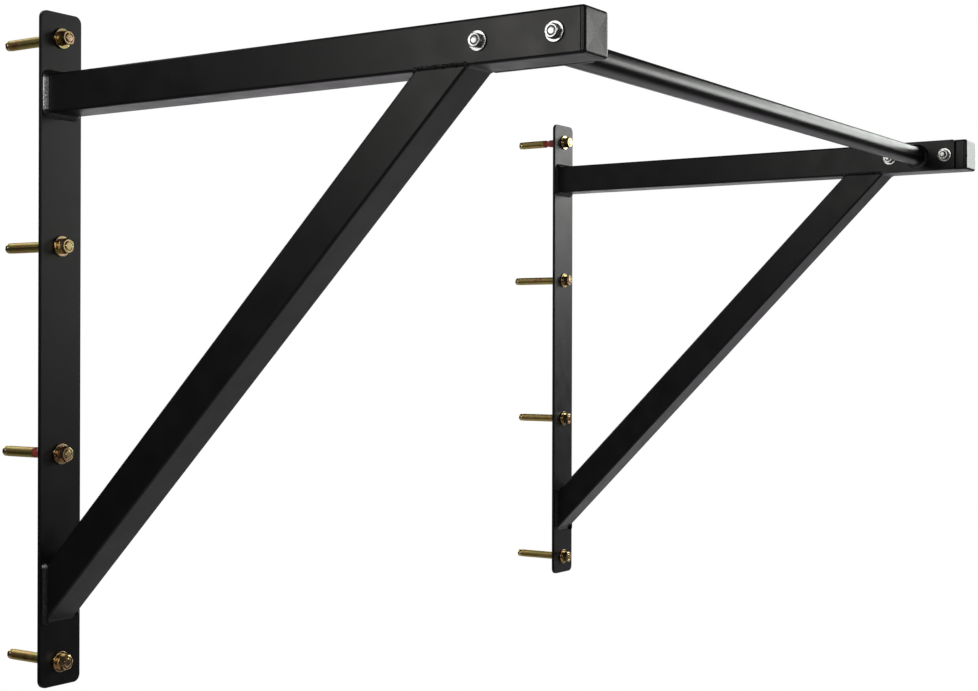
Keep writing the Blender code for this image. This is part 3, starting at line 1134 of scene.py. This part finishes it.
def make_floor():
    """A pale round floor, well below the bar as in a room, that fades out at its rim."""
    shape = bmesh.new()
    level = Matrix.Translation((0, 0, FLOOR_LEVEL))
    rings = [lifted(circle(radius, 96), 0, level) for radius in (0.02, 0.5, 1.0, 2.0, 4.0, 7.0)]
    made = loft(shape, rings, "open")
    shape.faces.new(made[0])
    mesh = bpy.data.meshes.new("floor")
    bmesh.ops.recalc_face_normals(shape, faces=shape.faces)
    shape.to_mesh(mesh)
    shape.free()
    floor = bpy.data.objects.new("floor", mesh)
    STAGE.objects.link(floor)
    recipe = Recipe("pale_floor")
    recipe.set(Roughness=0.9, Emission_Color=(1.0, 1.0, 1.0, 1.0))
    rays = recipe.tree.nodes.new("ShaderNodeLightPath")
    glow = recipe.spread(rays.outputs["Is Camera Ray"], 0.0, FLOOR_GLOW, 0.0, 1.0)
    recipe.link(glow, recipe.shader.inputs["Emission Strength"])
    recipe.link(
        recipe.ramp(recipe.noise(1.5, 3.0), [(0.3, (0.80, 0.80, 0.80)), (0.7, (0.84, 0.84, 0.84))]),
        recipe.shader.inputs["Base Color"],
    )
    length = recipe.tree.nodes.new("ShaderNodeVectorMath")
    length.operation = "LENGTH"
    recipe.link(recipe.stretched((1.0, 1.0, 0.0)), length.inputs[0])
    recipe.link(recipe.spread(length.outputs["Value"], 1.0, 0.0, *FLOOR_FADE), recipe.shader.inputs["Alpha"])
    floor.data.materials.append(recipe.material)


def make_world():
    world = bpy.data.worlds.new("studio")
    bpy.context.scene.world = world
    world.use_nodes = True
    tree = world.node_tree
    tree.nodes.clear()
    seen = tree.nodes.new("ShaderNodeBackground")
    seen.inputs["Color"].default_value = (1.0, 1.0, 1.0, 1.0)
    seen.inputs["Strength"].default_value = 1.0
    fill = tree.nodes.new("ShaderNodeBackground")
    fill.inputs["Color"].default_value = (0.93, 0.95, 1.0, 1.0)
    fill.inputs["Strength"].default_value = WORLD_FILL
    rays = tree.nodes.new("ShaderNodeLightPath")
    mix = tree.nodes.new("ShaderNodeMixShader")
    output = tree.nodes.new("ShaderNodeOutputWorld")
    tree.links.new(rays.outputs["Is Camera Ray"], mix.inputs["Fac"])
    tree.links.new(fill.outputs["Background"], mix.inputs[1])
    tree.links.new(seen.outputs["Background"], mix.inputs[2])
    tree.links.new(mix.outputs["Shader"], output.inputs["Surface"])


def make_light(name, place, target, size, power, colour=WHITE, roll=0.0):
    """A rectangular softbox that faces its target, rolled about its own axis."""
    data = bpy.data.lights.new(name, "AREA")
    data.shape = "RECTANGLE"
    data.size, data.size_y = size
    data.energy = power
    data.color = colour
    light = bpy.data.objects.new(name, data)
    STAGE.objects.link(light)
    light.location = place
    facing = (Vector(target) - Vector(place)).to_track_quat("-Z", "Y").to_matrix()
    light.rotation_euler = (facing @ Matrix.Rotation(roll, 3, "Z")).to_euler()
    light.visible_camera = False


def make_camera():
    data = bpy.data.cameras.new("camera")
    camera = bpy.data.objects.new("camera", data)
    STAGE.objects.link(camera)
    data.sensor_width = 36.0
    data.lens = CAMERA_LENS
    data.clip_start = 0.05
    data.clip_end = 60.0
    camera.location = CAMERA_PLACE
    turn = Matrix.Rotation(CAMERA_YAW - math.pi / 2, 3, "Z")
    tilt = Matrix.Rotation(math.pi / 2 + CAMERA_PITCH, 3, "X")
    roll = Matrix.Rotation(CAMERA_ROLL, 3, "Z")
    camera.rotation_euler = (turn @ tilt @ roll).to_euler()
    bpy.context.scene.camera = camera


CAMERA_PLACE = (-1.8667, -1.4546, 0.3954)
CAMERA_YAW = 0.58265
CAMERA_PITCH = 0.00009
CAMERA_ROLL = 0.00269
CAMERA_LENS = 59.615
WORLD_FILL = 0.02
FLOOR_LEVEL = -1.35
FLOOR_FADE = 2.6, 4.6  # radii between which the floor fades out
FLOOR_GLOW = 0.70  # keeps the floor pale to the camera, and adds no light to the bar

make_floor()
make_world()
make_camera()
LIGHTS = [
    ("right_softbox", (2.5, -1.2, 1.28), MIDDLE, (1.8, 0.95), 20.0, PALE_GREEN, 0.38),
    ("front_right_softbox", (2.5, -2.1, 0.95), MIDDLE, (0.7, 0.8), 5.5),
    ("right_side_softbox", (2.5, -0.3, 0.7), MIDDLE, (0.8, 0.8), 3.0),
    ("low_right_softbox", (2.36, -0.35, -0.65), MIDDLE, (1.4, 1.4), 3.4, PALE_VIOLET),
    ("front_softbox", (2.0, -3.2, 0.9), MIDDLE, (1.6, 1.6), 3.8, PALE_AMBER),
    ("rear_softbox", (1.39, 2.05, 0.84), MIDDLE, (1.2, 1.2), 6.2),
    ("rear_right_softbox", (2.4, 1.04, 0.84), MIDDLE, (1.2, 1.2), 6.0),
    ("low_rear_softbox", (1.6, 2.2, 0.0), (0.0, -0.35, 0.6), (1.8, 1.8), 3.8, PALE_VIOLET),
    ("low_rear_right_softbox", (2.6, 1.2, 0.0), (0.0, -0.35, 0.6), (1.8, 1.8), 3.6, PALE_VIOLET),
    ("high_rear_softbox", (-0.3, 2.8, 2.6), (0.0, -0.2, 0.4), (1.6, 1.6), 14.0),
    ("wall_side_softbox", (-0.4, 2.2, 0.9), (0.4, 0.0, 0.5), (0.8, 0.8), 7.0),
    ("left_softbox", (-2.2, -0.25, 1.0), MIDDLE, (0.7, 0.7), 3.4, PALE_AMBER),
    ("rear_left_softbox", (-2.2, 0.25, 1.05), MIDDLE, (0.6, 0.6), 3.3, PALE_AMBER),
    ("front_left_softbox", (-2.7, -2.0, 1.2), (-0.6, 0.0, 0.7), (0.6, 0.6), 4.0),
]
for light in LIGHTS:
    make_light(*light)
bpy.context.scene.view_settings.view_transform = "Standard"
